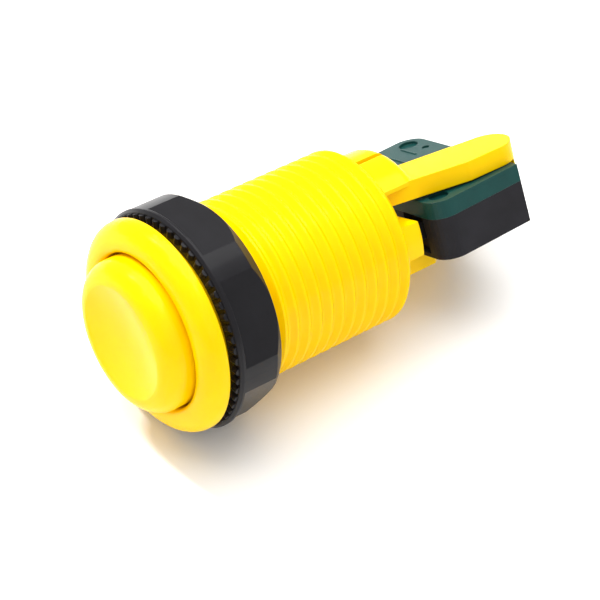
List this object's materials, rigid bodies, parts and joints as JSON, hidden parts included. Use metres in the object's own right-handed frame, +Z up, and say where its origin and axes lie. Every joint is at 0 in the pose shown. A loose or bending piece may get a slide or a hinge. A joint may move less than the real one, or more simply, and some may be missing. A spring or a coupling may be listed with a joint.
{
  "type": "arcade push button with concave cap",
  "caption": "Panel push button with a concave round cap, domed bezel, threaded barrel, ring nut and a snap-in lever-less microswitch.",
  "frame": {"origin": "centre of the bezel's seat on the button's axis, where the panel's front face would be", "axes": "+Y runs level from the cap to the terminals, +Z is up as the part rests on its side, +X completes the frame; the button's axis falls by the rest tilt below +Y"},
  "size_m": [0.0361, 0.0743, 0.035],
  "materials": {
    "yellow_plastic": "glossy moulded",
    "charcoal_plastic": "satin moulded",
    "black_plastic": "fine matte moulded",
    "green_plastic": "fine matte moulded",
    "spring_steel": "drawn wire",
    "spring_bronze": "rolled strip",
    "contact_silver": "smooth",
    "terminal_metal": "plated strip"
  },
  "bodies": {
    "body": {"housing": "yellow_plastic", "switch_base": "black_plastic", "switch_cover": "green_plastic", "common_terminal": "terminal_metal", "normally_open_terminal": "terminal_metal", "normally_closed_terminal": "terminal_metal", "normally_open_contact": "contact_silver", "normally_closed_contact": "contact_silver", "return_spring": "spring_steel"},
    "cap": {"plunger": "yellow_plastic"},
    "nut": {"mounting_nut": "charcoal_plastic"},
    "pin": {"switch_pin": "green_plastic"},
    "blade": {"snap_blade": "spring_bronze", "moving_contact": "contact_silver"}
  },
  "joints": [
    {"name": "press", "type": "slide", "parent": "body", "child": "cap", "axis": [0, 0.9956, -0.0939], "range_m": [0, 0.0024], "stiffness_N_per_m": 80, "springref_m": -0.008, "deforming": ["return_spring"]},
    {"name": "pin_press", "type": "slide", "parent": "body", "child": "pin", "axis": [0.0428, 0.9991, 0.0073], "range_m": [0, 0.0024]},
    {"name": "blade_swing", "type": "hinge", "parent": "body", "child": "blade", "pos_m": [-0.00817, 0.04978, -0.00951], "axis": [-0.4301, 0.0118, 0.9027], "range_deg": [0, 8.7]},
    {"name": "nut_turn", "type": "hinge", "parent": "body", "child": "nut", "pos_m": [0, 0, 0], "axis": [0, 0.9956, -0.0939], "continuous": true}
  ],
  "couplings": [
    {"joint": "pin_press", "follows": "press", "ratio": 1},
    {"joint": "blade_swing", "follows": "press", "rad_per_m": 63.134}
  ]
}
